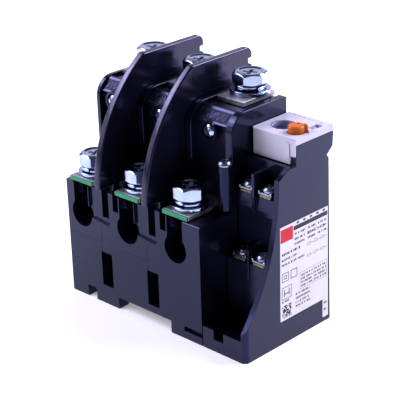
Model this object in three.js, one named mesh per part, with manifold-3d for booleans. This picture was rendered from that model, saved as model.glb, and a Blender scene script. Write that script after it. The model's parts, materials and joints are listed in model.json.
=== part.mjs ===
// Three-pole thermal overload relay of a magnetic motor starter, as an assembly of separate pieces.
// Millimetres. While it is built, x runs right from the left side, y runs back from the load
// face and z runs up from the panel face. The exported group then puts its origin at the centre of the base.

import * as THREE from "three";
import { mergeVertices } from "three/addons/utils/BufferGeometryUtils.js";
import Module from "manifold-3d";

const wasm = await Module();
wasm.setup();

// ---- driving dimensions ----

const bodyWidth = 109;
const bodyDepth = 55.6;
const wall = 2.4;
const gap = 0.3;
const skirtHeight = 5.2;

const polePitch = 29.6;
const poles = [0, 1, 2].map((i) => 10.2 + i * polePitch);
const powerWidth = 84;

const blockDepth = 20.5;
const blockTop = 55.5;
const baseTop = 57.5;
const floorTop = 7.6;

const towerFloor = baseTop + gap;
const towerTop = 98;
const towerFront = 21.5;
const coreFront = 24.5;
const archRadius = 9;
const seatTop = 96.7;
const bridgeTop = 66;
// Left and right faces of each tower, and how thick its left side wall is.
const towers = [
  { left: 0.4, right: 22.6, leftWall: 1.9 },
  { left: 27.4, right: 52.2, leftWall: 3.3 },
  { left: 57, right: 84.2, leftWall: 3.3 },
];
const rightWall = 4.2;

const barrierThick = 3.6;
const barrierCentres = [poles[0] + polePitch / 2, poles[1] + polePitch / 2];
const barrierFront = -3.3;
const barrierRear = 65;
const barrierTop = 113;
const barrierRadius = 70;
const barrierFoot = 57.9;

const plateThick = 2;
const loadPlateZ = 56;
const linePlateZ = seatTop + gap;
const loadBoltY = 10;
const lineBoltY = 49;
const threadRadius = 4;
const holeRadius = 4.3;

const sideLeft = 84.5;
const sideWallInner = 106.4;
const sideTop = 88;
const coverBottom = 79.6;
const coverTop = 91;
const coverFront = 32.3;
const coverBack = 57;

const auxX = [91.4, 102];
const auxRows = [
  { shelf: 66.6, y: 24.4 },
  { shelf: 37.2, y: 19.8 },
];

const dialAt = [93.6, 43];
const resetAt = [103.1, 39.7];
const sliderY = [32, 37];
const sliderZ = [8.6, 11.6];
const leverPivot = [94.2, 42];
const armPivot = [90.2, 50];

// ---- solids from three.js geometries ----

function solidOf(geometry) {
  const bare = geometry.index ? geometry.toNonIndexed() : geometry.clone();
  bare.deleteAttribute("normal");
  bare.deleteAttribute("uv");
  const merged = mergeVertices(bare, 1e-4);
  const triVerts = new Uint32Array(merged.index.array);
  const vertProperties = merged.attributes.position.array;
  return new wasm.Manifold(new wasm.Mesh({ numProp: 3, vertProperties, triVerts }));
}

function geometryOf(solid) {
  const mesh = solid.getMesh();
  const geometry = new THREE.BufferGeometry();
  geometry.setAttribute("position", new THREE.BufferAttribute(mesh.vertProperties, 3));
  geometry.setIndex(new THREE.BufferAttribute(mesh.triVerts, 1));
  const faceted = geometry.toNonIndexed();
  faceted.computeVertexNormals();
  return faceted;
}

const join = (first, ...others) => others.reduce((sum, next) => sum.add(next), first);
const cut = (first, ...others) => others.reduce((rest, next) => rest.subtract(next), first);

// A box from its low and high value on each axis.
function box([x0, x1], [y0, y1], [z0, z1]) {
  const geometry = new THREE.BoxGeometry(x1 - x0, y1 - y0, z1 - z0);
  return solidOf(geometry.translate((x0 + x1) / 2, (y0 + y1) / 2, (z0 + z1) / 2));
}

// A closed outline from points; an entry { arc: [cx, cy, r, from, to] } adds an arc in degrees.
function outline(entries) {
  const shape = new THREE.Shape();
  entries.forEach((entry, i) => {
    if (entry.arc) {
      const [cx, cy, r, from, to] = entry.arc;
      const [a, b] = [THREE.MathUtils.degToRad(from), THREE.MathUtils.degToRad(to)];
      shape.absarc(cx, cy, r, a, b, to < from);
    } else if (entry.curve) shape.bezierCurveTo(...entry.curve);
    else if (i === 0) shape.moveTo(...entry);
    else shape.lineTo(...entry);
  });
  return shape;
}

const yzToWorld = new THREE.Matrix4().set(0, 0, 1, 0, 1, 0, 0, 0, 0, 1, 0, 0, 0, 0, 0, 1);
const xzToWorld = new THREE.Matrix4().set(1, 0, 0, 0, 0, 0, -1, 0, 0, 1, 0, 0, 0, 0, 0, 1);

function extruded(shape, depth, curveSegments) {
  return new THREE.ExtrudeGeometry(shape, { depth, bevelEnabled: false, curveSegments });
}

// An outline in (y, z) drawn out along x, in (x, z) along y, and in (x, y) along z.
function prismX(entries, [x0, x1], segments = 10) {
  const geometry = extruded(outline(entries), x1 - x0, segments);
  return solidOf(geometry.applyMatrix4(yzToWorld).translate(x0, 0, 0));
}

function prismY(entries, [y0, y1], segments = 10) {
  const geometry = extruded(outline(entries), y1 - y0, segments);
  return solidOf(geometry.applyMatrix4(xzToWorld).translate(0, y1, 0));
}

function prismZ(entries, [z0, z1], segments = 10) {
  const geometry = extruded(outline(entries), z1 - z0, segments);
  return solidOf(geometry.translate(0, 0, z0));
}

// A round bar along one axis, at a place given on the two other axes in their x, y, z order.
function bar(axis, [a, b], radius, [from, to], segments = 20) {
  const geometry = new THREE.CylinderGeometry(radius, radius, to - from, segments);
  const middle = (from + to) / 2;
  if (axis === "x") geometry.rotateZ(-Math.PI / 2).translate(middle, a, b);
  if (axis === "y") geometry.translate(a, middle, b);
  if (axis === "z") geometry.rotateX(Math.PI / 2).translate(a, b, middle);
  return solidOf(geometry);
}

// A turned piece about z through the origin, from an outline of [radius, height] points.
function turned(points, segments = 24) {
  const profile = points.map(([r, z]) => new THREE.Vector2(r, z));
  return solidOf(new THREE.LatheGeometry(profile, segments).rotateX(Math.PI / 2));
}

// A flat ring about z whose underside is at height 0.
function ring(inner, outer, height, segments = 24) {
  return turned([[inner, 0], [outer, 0], [outer, height], [inner, height], [inner, 0]], segments);
}

// ---- materials ----

const plastic = (color, roughness) =>
  new THREE.MeshStandardMaterial({ color, roughness, metalness: 0 });
const metal = (color, roughness) =>
  new THREE.MeshStandardMaterial({ color, roughness, metalness: 1 });

const materials = {
  housing: plastic(0x17171e, 0.42),
  barrier: plastic(0x1b1b24, 0.35),
  cover: plastic(0xd9d5e6, 0.4),
  dial: plastic(0x73778f, 0.4),
  button: plastic(0xd0641f, 0.4),
  marker: plastic(0x2f9a66, 0.5),
  label: plastic(0xdedbe6, 0.55),
  slider: plastic(0xc9b27a, 0.5),
  zinc: metal(0xc3cad4, 0.22),
  tin: metal(0xa8a6ad, 0.38),
  brass: metal(0xb99a55, 0.35),
  bimetal: metal(0x8d8781, 0.4),
  heater: metal(0x6f6a63, 0.5),
  spring: metal(0x9da2a8, 0.3),
};

const relay = new THREE.Group();

// Adds one named piece to a group.
function piece(name, solid, material, parent = relay) {
  const mesh = new THREE.Mesh(geometryOf(solid), materials[material]);
  mesh.name = name;
  parent.add(mesh);
  return mesh;
}

// ---- base housing: load block in front, three heater chambers behind it ----

const chamber = (pole) => [pole - poles[0] + wall, pole + 11.3];

function keyhole(pole) {
  const centre = pole + 0.2;
  const depth = [-1, 14.6];
  const bowl = bar("y", [centre, 41.5], 6.5, depth, 28);
  return join(bowl, box([centre - 4.7, centre + 4.5], depth, [42, blockTop + 1]));
}

// The recess, two grooves and window that sit under each phase barrier.
function barrierSeat(centre) {
  const at = (points) => points.map(([x, z]) => [centre + x, z]);
  const above = blockTop + 1;
  const recess = at([[-8.1, 41], [2.7, 39.8], [9.7, 46.8], [9.7, above], [-9.7, above], [-9.7, 44.6]]);
  return join(
    prismY(recess, [-1, 1.2]),
    box([centre - 2.1, centre + 2.1], [-1, 9.6], [42.8, above]),
    box([centre + 4.9, centre + 9.2], [-1, 6], [47.4, above]),
    box([centre - 3.2, centre + 3.8], [-1, 12], [9.2, 25.9]),
  );
}

function baseHousing() {
  const front = prismZ(
    [
      [powerWidth, 0],
      [powerWidth, blockDepth + 1],
      [0, blockDepth + 1],
      [0, 1],
      { arc: [1, 1, 1, 180, 270] },
    ],
    [0, blockTop],
    4,
  );
  const body = join(front, box([0, powerWidth], [blockDepth, bodyDepth], [0, baseTop]));
  const perPole = poles.map((pole) =>
    join(
      keyhole(pole),
      box(chamber(pole), [25, 53], [floorTop, baseTop + 1]),
      box([pole - 7.8, pole + 7.8], [blockDepth - 4, 31], [blockTop, baseTop + 1]),
    ),
  );
  const underside = box([3, powerWidth - 3], [6, 50], [-1, skirtHeight]);
  const skirtNotches = [[11.2, 16.9], [31.8, 65.3]].map((span) => box(span, [-1, 7], [-1, 5.7]));
  const sliderTunnel = box([wall, powerWidth + 1], [31, 38.2], [8.1, 18.8]);
  const pryingSlot = box([73.4, powerWidth + 1], [-1, 2.4], [3.7, 6]);
  return cut(
    body,
    ...perPole,
    ...barrierCentres.map(barrierSeat),
    underside,
    ...skirtNotches,
    sliderTunnel,
    pryingSlot,
  );
}

piece("base_housing", baseHousing(), "housing");

// ---- tower housing: the three line-side chambers, joined by a low bridge ----

const screwHeight = 88.4;
const bossAt = [82.6, 18];

function tower({ left, right, leftWall }, pole) {
  const side = [
    [bodyDepth, towerFloor],
    [bodyDepth, towerTop],
    [towerFront + archRadius, towerTop],
    { arc: [towerFront + archRadius, towerTop - archRadius, archRadius, 90, 180] },
    [towerFront, towerFloor],
  ];
  const inner = [left + leftWall, right - rightWall];
  const frontSpace = [
    [coreFront, towerFloor - 1],
    [coreFront, 91],
    [22.9, 92.2],
    [28.2, 97.2],
    [28.8, towerTop + 1],
    [20, towerTop + 1],
    [20, towerFloor - 1],
  ];
  const boss = bar("y", [pole, screwHeight], 4.7, [22.2, coreFront + 1]);
  const shell = join(
    cut(
      prismX(side, [left, right], 8),
      prismX(frontSpace, inner),
      box(inner, [28.5, bodyDepth + 1], [seatTop, towerTop + 1]),
    ),
    boss,
  );
  return cut(
    shell,
    box([pole - 6.8, pole + 8], [27, 53], [towerFloor - 1, seatTop - 3.2]),
    box([pole - 5.4, pole + 5.4], [39.4, 42.6], [90, seatTop + 1]),
    box([pole - 6.4, pole + 6.4], [20, 31], [towerFloor - 1, 58.5]),
    bar("z", [pole, lineBoltY], 4.7, [92, seatTop + 1]),
    bar("y", [pole, screwHeight], 3.7, [21, 24.1]),
    bar("y", [pole, screwHeight], 1.8, [21, 28], 12),
  );
}

function towerHousing() {
  const blocks = towers.map((size, i) => tower(size, poles[i]));
  const bridge = (a, b) => box([a.right - 1, b.left + 1], [coreFront, bodyDepth], [towerFloor, bridgeTop]);
  const bossTop = 77.2;
  const rib = box([81.4, powerWidth + 0.2], [17.4, towerFront + 1], [towerFloor, bossTop]);
  const boss = bar("z", bossAt, 2.8, [towerFloor, bossTop]);
  const joined = join(...blocks, bridge(towers[0], towers[1]), bridge(towers[1], towers[2]), rib, boss);
  return cut(joined, bar("z", bossAt, 1.7, [70, bossTop + 1], 12));
}

piece("tower_housing", towerHousing(), "housing");

// ---- side housing: auxiliary terminals in a stepped pocket, trip mechanism behind them ----

// The side wall in (y, z): flat rear, stepped shoulder, and a front edge swept back from the lip.
const sideOutline = [
  [0, 0],
  [bodyDepth, 0],
  [53.9, 77],
  [52.6, 78.4],
  [56.4, 81.6],
  [56.8, sideTop],
  [32.6, sideTop],
  [32.7, 79.2],
  [28.2, 79.2],
  [21.9, 75.8],
  [21.8, 72],
  { curve: [20.8, 44, 10.5, 27, 0, 13.5] },
];

// The space in front of the stepped terminal face and behind the low front lip, in (y, z).
function pocketOutline() {
  const [upper, lower] = auxRows;
  return [
    [-2, 10],
    [1.6, 10],
    [1.6, floorTop],
    [16.2, floorTop],
    [16.2, lower.shelf],
    [24, lower.shelf],
    [24, 58.2],
    [21.5, 58.2],
    [21.5, 60.6],
    [20.6, 60.6],
    [20.6, upper.shelf],
    [29.6, upper.shelf],
    [29.6, sideTop + 2],
    [-2, sideTop + 2],
  ];
}

function sideHousing() {
  const inside = [sideLeft - 1, sideWallInner];
  const cavity = [sideLeft + 2.1, sideWallInner];
  const openings = [
    prismX(pocketOutline(), inside),
    box(inside, [29, 60], [79.2, 95]),
    box(cavity, [31.4, 53], [floorTop, 80]),
    box([87, sideWallInner], [6, 50], [-1, skirtHeight]),
    box([sideLeft - 1, sideLeft + 3], [31, 38.2], [8.1, 18.8]),
    box([90.8, 96.4], [-1, 4], [5.6, 11]),
  ];
  const strips = auxRows.flatMap(({ shelf, y }) =>
    auxX.map((x) =>
      join(
        box([x - 3.2, x + 3.2], [y, 32], [shelf, shelf + 1.6]),
        bar("z", [x, y], 1.8, [shelf - 7.2, shelf + 1], 12),
      ),
    ),
  );
  const corner = cut(
    box([bodyWidth - 2.5, bodyWidth + 1], [-1, 2.5], [-1, 20]),
    bar("z", [bodyWidth - 2.5, 2.5], 2.5, [-2, 21], 24),
  );
  const shell = cut(prismX(sideOutline, [sideLeft, bodyWidth], 12), ...openings, ...strips, corner);
  const dividers = [
    box([95.9, 97.3], [19.6, 29.8], [60.6, 76.6]),
    box([95.9, 97.3], [15.6, 24.2], [30, 43.8]),
  ];
  const springShelf = cut(
    box([98.5, sideWallInner + 1], [35, 44.5], [65, 67.5]),
    bar("z", resetAt, 2.4, [64, 68]),
  );
  const bearing = ([x, z], size, hole) =>
    cut(box([x - size, x + size], [50, 53.2], [z - size, z + size]), bar("y", [x, z], hole, [49, 54], 16));
  const bearings = [bearing(leverPivot, 2.5, 1.45), bearing(armPivot, 2.2, 1.25)];
  const joined = join(shell, ...dividers, springShelf, ...bearings);
  const recess = prismX(labelOutline(0.3), [bodyWidth - 0.6, bodyWidth + 1]);
  return cut(joined, recess);
}

// The label panel with a narrow tail along the rear edge, grown outwards by a margin.
function labelOutline(margin) {
  const [front, back, tailFront, tailBack] = [22.4 - margin, 53.6 + margin, 50.6 - margin, 54.4 + margin];
  const [low, high, tailLow] = [11 - margin, 54.8 + margin, 2 - margin];
  return [
    [front, low],
    [tailFront, low],
    [tailFront, tailLow],
    [tailBack, tailLow],
    [back, high],
    [front, high],
  ];
}

piece("side_housing", sideHousing(), "housing");
piece("rating_label", prismX(labelOutline(0), [bodyWidth - 0.3, bodyWidth - 0.05]), "label");

// ---- front cover over the side housing ----

function frontCover() {
  const [x0, x1] = [sideLeft + 0.2, bodyWidth];
  const plateBottom = sideTop + gap;
  const corner = 2;
  const plan = (right, back) => [
    [right, coverFront],
    [right, back],
    [x0, back],
    [x0, coverFront + corner],
    { arc: [x0 + corner, coverFront + corner, corner, 180, 270] },
  ];
  const top = prismZ(plan(x1, coverBack), [plateBottom, coverTop], 5);
  const skirt = cut(
    prismZ(plan(sideWallInner - gap, 55.2), [coverBottom, plateBottom + 1], 5),
    box([x0 + 1.7, sideWallInner + 1], [coverFront + 1.8, 53.4], [coverBottom - 1, plateBottom]),
  );
  const lug = box([103.8, sideWallInner - gap], [31.6, 34], [82.4, plateBottom + 0.5]);
  // The slice of the button's hole that its tab turns and presses in.
  const tabSector = prismZ([[0, -1], [0, 0], { arc: [0, 0, 5.3, 22, 128] }], [plateBottom - 1, coverTop + 1], 8);
  return cut(
    join(top, skirt, lug),
    bar("z", dialAt, 5.15, [plateBottom - 1, coverTop + 1], 32),
    bar("z", resetAt, 3.95, [plateBottom - 1, coverTop + 1], 24),
    tabSector.translate([...resetAt, 0]),
    box([103.6, 107], [46.2, 52.4], [plateBottom - 1, coverTop + 1]),
  );
}

piece("front_cover", frontCover(), "cover");

// ---- phase barriers ----

// A plate whose front edge is one arc, furthest forward at its foot, with a tongue down into the block.
function phaseBarrier() {
  const arcHeight = 55;
  const footReach = Math.sqrt(barrierRadius ** 2 - (barrierFoot - arcHeight) ** 2);
  const arcCentre = [barrierFront + footReach, arcHeight];
  const angleAt = (z) => 180 - THREE.MathUtils.radToDeg(Math.asin((z - arcHeight) / barrierRadius));
  const [arcStart, arcEnd] = [angleAt(barrierTop), angleAt(barrierFoot)];
  return prismX(
    [
      [24.2, barrierFoot],
      [24.2, bridgeTop + 0.4],
      [bodyDepth, bridgeTop + 0.4],
      [bodyDepth, 88],
      [barrierRear, 93],
      [barrierRear, 104.8],
      [barrierRear - 2.3, 105.4],
      [barrierRear - 2.3, 107.7],
      [barrierRear, 107.7],
      { arc: [barrierRear - 3.6, barrierTop - 3.6, 3.6, 0, 90] },
      { arc: [...arcCentre, barrierRadius, arcStart, arcEnd] },
      [5, barrierFoot],
      [5, 44],
      [9, 44],
      [9, barrierFoot],
    ],
    [-barrierThick / 2, barrierThick / 2],
    9,
  );
}

barrierCentres.forEach((x, i) => {
  piece(`phase_barrier_${i + 1}`, phaseBarrier(), "barrier").position.x = x;
});

// ---- terminal hardware, built about its own bolt axis with the plate's top face at height 0 ----

// A hexagon bolt with a chamfered, dished head and a cross recess.
function hexBolt(acrossFlats, headBottom, headHeight, shankLength) {
  const corner = acrossFlats / Math.sqrt(3);
  const top = headBottom + headHeight;
  const prism = solidOf(
    new THREE.CylinderGeometry(corner, corner, headHeight, 6)
      .rotateX(Math.PI / 2)
      .translate(0, 0, headBottom + headHeight / 2),
  );
  const chamfer = turned([
    [0, headBottom - 1],
    [corner + 1, headBottom - 1],
    [corner + 1, top - 1.6],
    [acrossFlats / 2 - 0.3, top],
    [0, top],
  ]);
  const dish = turned([[0, top - 0.5], [corner * 0.6, top - 0.4], [corner * 0.74, top + 1], [0, top + 1]]);
  const shank = bar("z", [0, 0], threadRadius, [-shankLength, headBottom + 0.5]);
  const recess = [box([-3, 3], [-0.7, 0.7], [top - 2.6, top]), box([-0.7, 0.7], [-3, 3], [top - 2.6, top])];
  return cut(join(prism.intersect(chamfer), shank), dish, ...recess);
}

function springWasher(outer) {
  const split = box([0, outer + 1], [-0.5, 0.5], [-2, 4]).rotate([28, 0, 0]);
  return cut(ring(holeRadius, outer, 1.8), split);
}

const flatWasherHeight = 1.6;
const springWasherZ = gap + flatWasherHeight + gap;
const headZ = springWasherZ + 1.8 + gap;

// Plates: the flat end that takes the cable lug, with the leg that carries the current inside.
function loadPlate() {
  const pad = box([-7.4, 7.4], [1.5 - loadBoltY, 16.2 - loadBoltY], [-plateThick, 0]);
  const tongue = box([-6, 6], [15 - loadBoltY, 30 - loadBoltY], [-plateThick, 0]);
  const leg = box([-6, 6], [28 - loadBoltY, 30 - loadBoltY], [-20, -1]);
  return cut(join(pad, tongue, leg), bar("z", [0, 0], holeRadius, [-3, 1]));
}

function linePlate() {
  const pad = box([-7.6, 7.6], [36 - lineBoltY, 56.5 - lineBoltY], [0, plateThick]);
  const leg = box([-5, 5], [40 - lineBoltY, 42 - lineBoltY], [58 - linePlateZ, 1]);
  return cut(join(pad, leg), bar("z", [0, 0], holeRadius, [-1, 3])).translate([0, 0, -plateThick]);
}

function terminal(side, i, place, sizes, plate) {
  const group = new THREE.Group();
  group.position.set(...place);
  relay.add(group);
  piece(`${side}_plate_${i}`, plate, "tin", group);
  const flat = piece(`${side}_flat_washer_${i}`, ring(holeRadius, sizes.flat, flatWasherHeight), "zinc", group);
  const spring = piece(`${side}_spring_washer_${i}`, springWasher(sizes.spring), "zinc", group);
  flat.position.z = gap;
  spring.position.z = springWasherZ;
  spring.rotation.z = sizes.splitAngle;
  const bolt = piece(`${side}_bolt_${i}`, hexBolt(sizes.hex, headZ, sizes.head, sizes.shank), "zinc", group);
  bolt.rotation.z = sizes.turn;
}

const loadSizes = { flat: 8, spring: 6.7, hex: 13, head: 6, shank: 11, turn: 0.45, splitAngle: -1.2 };
const lineSizes = { flat: 9, spring: 7.1, hex: 14, head: 5.2, shank: 15, turn: 0.4, splitAngle: -0.4 };

poles.forEach((x, i) => {
  terminal("load", i + 1, [x, loadBoltY, loadPlateZ + plateThick], loadSizes, loadPlate());
  terminal("line", i + 1, [x, lineBoltY, linePlateZ + plateThick], lineSizes, linePlate());
  const strip = box([x - 7.3, x + 7.3], [0.4, 1.2], [loadPlateZ + 0.1, loadPlateZ + plateThick]);
  piece(`terminal_strip_${i + 1}`, strip, "marker");
});

// ---- auxiliary terminals: a strip through the wall and a screw with its captive clamp plate ----

// A pan-head screw with a cross recess, seated at height 0; plate is the half width of a square clamp.
function panScrew(headRadius, headHeight, shankRadius, shankLength, plate) {
  const dome = turned(
    [
      [0, 0],
      [headRadius, 0],
      [headRadius, headHeight * 0.45],
      [headRadius * 0.72, headHeight * 0.88],
      [0, headHeight],
    ],
    20,
  );
  const arm = headRadius * 0.6;
  const recess = [
    box([-arm, arm], [-0.45, 0.45], [headHeight - 1.4, headHeight + 1]),
    box([-0.45, 0.45], [-arm, arm], [headHeight - 1.4, headHeight + 1]),
  ];
  const shank = bar("z", [0, 0], shankRadius, [-shankLength, 0.2], 12);
  const screw = cut(join(dome, shank), ...recess);
  if (!plate) return screw;
  const clamp = join(
    box([-plate, plate], [-plate, plate], [-0.9, 0.1]),
    ...[-1, 1].map((side) =>
      box([side * (plate - 0.45) - 0.45, side * (plate - 0.45) + 0.45], [-plate, plate], [-0.9, 0.8]),
    ),
  );
  return join(screw, clamp);
}

function auxStrip({ shelf, y }) {
  const flat = box([-2.9, 2.9], [y - 3.4, 33], [shelf + gap, shelf + 1.2]);
  const leg = box([-2.9, 2.9], [32, 33], [shelf - 8, shelf + 1]);
  return cut(join(flat, leg), bar("z", [0, y], 1.8, [shelf - 1, shelf + 2], 12));
}

auxRows.forEach((row, r) => {
  auxX.forEach((x, c) => {
    const number = r * auxX.length + c + 1;
    piece(`aux_terminal_${number}`, auxStrip(row), "brass").position.x = x;
    const screw = piece(`aux_screw_${number}`, panScrew(3.4, 2.6, 1.5, 6.4, 3.7), "zinc");
    screw.position.set(x, row.y, row.shelf + 1.2 + gap + 0.9);
  });
});

// ---- housing screws ----

poles.forEach((x, i) => {
  const screw = piece(`housing_screw_${i + 1}`, panScrew(3.2, 2.2, 1.4, 3.6), "zinc");
  screw.position.set(x, 23.8, screwHeight);
  screw.rotation.x = Math.PI / 2;
});
piece("housing_screw_4", panScrew(3.1, 2.4, 1.4, 5.5), "zinc").position.set(...bossAt, 77.5);

// ---- heating and sensing parts in each chamber ----

const bimetalX = 4.5;

// A flat heater ribbon folded into four runs between the line leg and the load leg.
function heater() {
  const runs = [30.3, 33.1, 35.9, 38.8];
  const [low, high, thick] = [20, 56.6, 0.8];
  const width = [-5.6, -1.6];
  const bends = runs.slice(1).map((y, i) => {
    const z = i % 2 === 0 ? low : high;
    return box(width, [runs[i], y + thick], [z, z + thick]);
  });
  return join(...runs.map((y) => box(width, [y, y + thick], [low, high + thick])), ...bends);
}

function bimetal() {
  const strip = box([bimetalX - 0.45, bimetalX + 0.45], [31, 37], [13.2, 59]);
  const foot = box([-1.2, bimetalX + 0.45], [31, 39.6], [58.6, 59.6]);
  return join(strip, foot);
}

poles.forEach((x, i) => {
  piece(`heater_${i + 1}`, heater(), "heater").position.x = x;
  piece(`bimetal_${i + 1}`, bimetal(), "bimetal").position.x = x;
});

// ---- trip mechanism ----

// The push bar that all three bimetals act on, with one finger beside each of them.
function tripSlider() {
  const rod = box([3.2, leverPivot[0] - 1.5], sliderY, sliderZ);
  const fingers = poles.map((x) => box([x + bimetalX + 1, x + bimetalX + 2.5], sliderY, [sliderZ[0], 18]));
  return join(rod, ...fingers);
}

function tripLever() {
  const [x, z] = leverPivot;
  return join(
    box([x - 0.9, x + 0.9], [40, 46], [9, 69]),
    box([x - 0.9, x + 0.9], [33, 46], [9, 14]),
    bar("y", leverPivot, 2.2, [39, 47]),
    bar("y", [x, z], 1.2, [46, 52.7], 16),
  );
}

function contactArm() {
  const [x, z] = armPivot;
  const pads = [37.6, 66.4].map((height) => bar("x", [42, height], 1.5, [x - 1.3, x + 1.3], 16));
  return join(
    box([x - 0.5, x + 0.5], [40, 44], [36, 68]),
    bar("y", armPivot, 2.1, [39, 45]),
    bar("y", [x, z], 1, [44, 52.7], 16),
    ...pads,
  );
}

piece("trip_slider", tripSlider(), "slider");
piece("trip_lever", tripLever(), "slider");
piece("contact_arm", contactArm(), "brass");

// ---- current dial, reset button and test slider ----

function dial() {
  const disc = turned(
    [[0, 86], [5.9, 86], [5.9, 87.9], [4.85, 87.9], [4.85, 90.2], [0, 90.2]],
    28,
  );
  const shaft = bar("z", [0, 0], 2.2, [75.5, 86.5]);
  const eccentric = bar("z", [1.3, 0], 1.3, [71, 76], 16);
  const slot = box([-3.4, 3.4], [-0.6, 0.6], [89.2, 91]);
  return cut(join(disc, shaft, eccentric), slot);
}

function resetKnob() {
  const [low, high] = [89.5, 94.3];
  const body = turned([[0, low], [3.55, low], [3.55, high - 0.3], [3.25, high], [0, high]], 24);
  const tab = box([2, 4.8], [-1.15, 1.15], [coverTop + gap, high - 0.4]);
  const bore = bar("z", [0, 0], 1.8, [low - 1, 92], 16);
  const mark = bar("z", [1.6, 0.6], 0.5, [high - 1, high + 1], 10);
  return cut(join(body, tab), bore, mark);
}

function resetPlunger() {
  return turned(
    [
      [0, 62],
      [2, 62],
      [2, 76.5],
      [3.3, 76.5],
      [3.3, 78],
      [2, 78],
      [2, 89.2],
      [1.5, 89.2],
      [1.5, 91.6],
      [0, 91.6],
    ],
    20,
  );
}

function resetSpring() {
  const [coilRadius, wire, low, high, turns] = [2.85, 0.35, 68.2, 75.9, 5];
  class Helix extends THREE.Curve {
    getPoint(t, target = new THREE.Vector3()) {
      const angle = t * turns * 2 * Math.PI;
      return target.set(coilRadius * Math.cos(angle), coilRadius * Math.sin(angle), low + t * (high - low));
    }
  }
  const section = new THREE.Shape();
  section.absarc(0, 0, wire, 0, 2 * Math.PI);
  const options = { steps: turns * 12, extrudePath: new Helix(), curveSegments: 3, bevelEnabled: false };
  return solidOf(new THREE.ExtrudeGeometry(section, options));
}

function testSlider() {
  const shoe = box([103, 106.1], [46.6, 50.6], [86.8, sideTop]);
  const head = prismX([[47, sideTop - 0.5], [50, sideTop - 0.5], [50, 90.6], [47, 89.2]], [103.9, 106.1]);
  return join(shoe, head);
}

piece("current_dial", dial(), "dial").position.set(...dialAt, 0);
const knob = piece("reset_knob", resetKnob(), "button");
knob.position.set(...resetAt, 0);
knob.rotation.z = Math.PI / 4;
piece("reset_plunger", resetPlunger(), "slider").position.set(...resetAt, 0);
piece("reset_spring", resetSpring(), "spring").position.set(...resetAt, 0);
piece("test_slider", testSlider(), "cover");

// The finished part: origin at the centre of its base, with the load terminals towards -y.
relay.position.set(-bodyWidth / 2, -(barrierFront + barrierRear) / 2, 0);
const part = new THREE.Group();
part.add(relay);

export default part;
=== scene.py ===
"""Looks of the three-pole thermal overload relay: moulded housings, terminal hardware, cover and controls.

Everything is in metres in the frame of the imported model. Sizes below are in millimetres and are turned
into metres by MM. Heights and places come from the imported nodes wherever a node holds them.
"""

import json
import math
import random

import bmesh
import bpy
from mathutils import Matrix, Vector


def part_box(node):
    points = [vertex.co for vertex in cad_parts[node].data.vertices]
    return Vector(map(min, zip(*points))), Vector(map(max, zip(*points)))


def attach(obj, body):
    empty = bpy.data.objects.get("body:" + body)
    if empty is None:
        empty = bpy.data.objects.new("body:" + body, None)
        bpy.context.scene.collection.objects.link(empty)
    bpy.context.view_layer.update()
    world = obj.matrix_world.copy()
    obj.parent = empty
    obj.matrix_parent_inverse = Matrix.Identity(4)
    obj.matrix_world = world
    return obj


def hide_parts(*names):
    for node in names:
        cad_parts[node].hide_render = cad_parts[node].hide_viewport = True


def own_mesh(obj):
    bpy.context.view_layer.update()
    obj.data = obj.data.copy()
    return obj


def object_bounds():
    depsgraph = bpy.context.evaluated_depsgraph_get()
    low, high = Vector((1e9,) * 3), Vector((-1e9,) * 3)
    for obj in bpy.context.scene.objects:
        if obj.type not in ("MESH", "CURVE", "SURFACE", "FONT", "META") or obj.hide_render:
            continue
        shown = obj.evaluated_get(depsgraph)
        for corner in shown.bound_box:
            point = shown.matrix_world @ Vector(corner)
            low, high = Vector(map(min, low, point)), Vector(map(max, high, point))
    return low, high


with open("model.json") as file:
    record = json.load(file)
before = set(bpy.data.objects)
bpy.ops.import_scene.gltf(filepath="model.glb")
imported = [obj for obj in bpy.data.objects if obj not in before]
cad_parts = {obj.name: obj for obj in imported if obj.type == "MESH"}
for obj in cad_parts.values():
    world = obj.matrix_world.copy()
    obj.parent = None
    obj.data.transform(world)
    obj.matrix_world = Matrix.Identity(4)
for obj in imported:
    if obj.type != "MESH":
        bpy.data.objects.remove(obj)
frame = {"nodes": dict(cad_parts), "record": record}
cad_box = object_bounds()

MM = 0.001
NODES = frame["nodes"]
BODY_OF = {n: body for body, names in frame["record"]["behaviour"]["bodies"].items() for n in names}
SLOT_OF = {s["node"]: s["material_slot"] for s in frame["record"]["subparts"]}
random.seed(7)


# ---- materials ----


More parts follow.
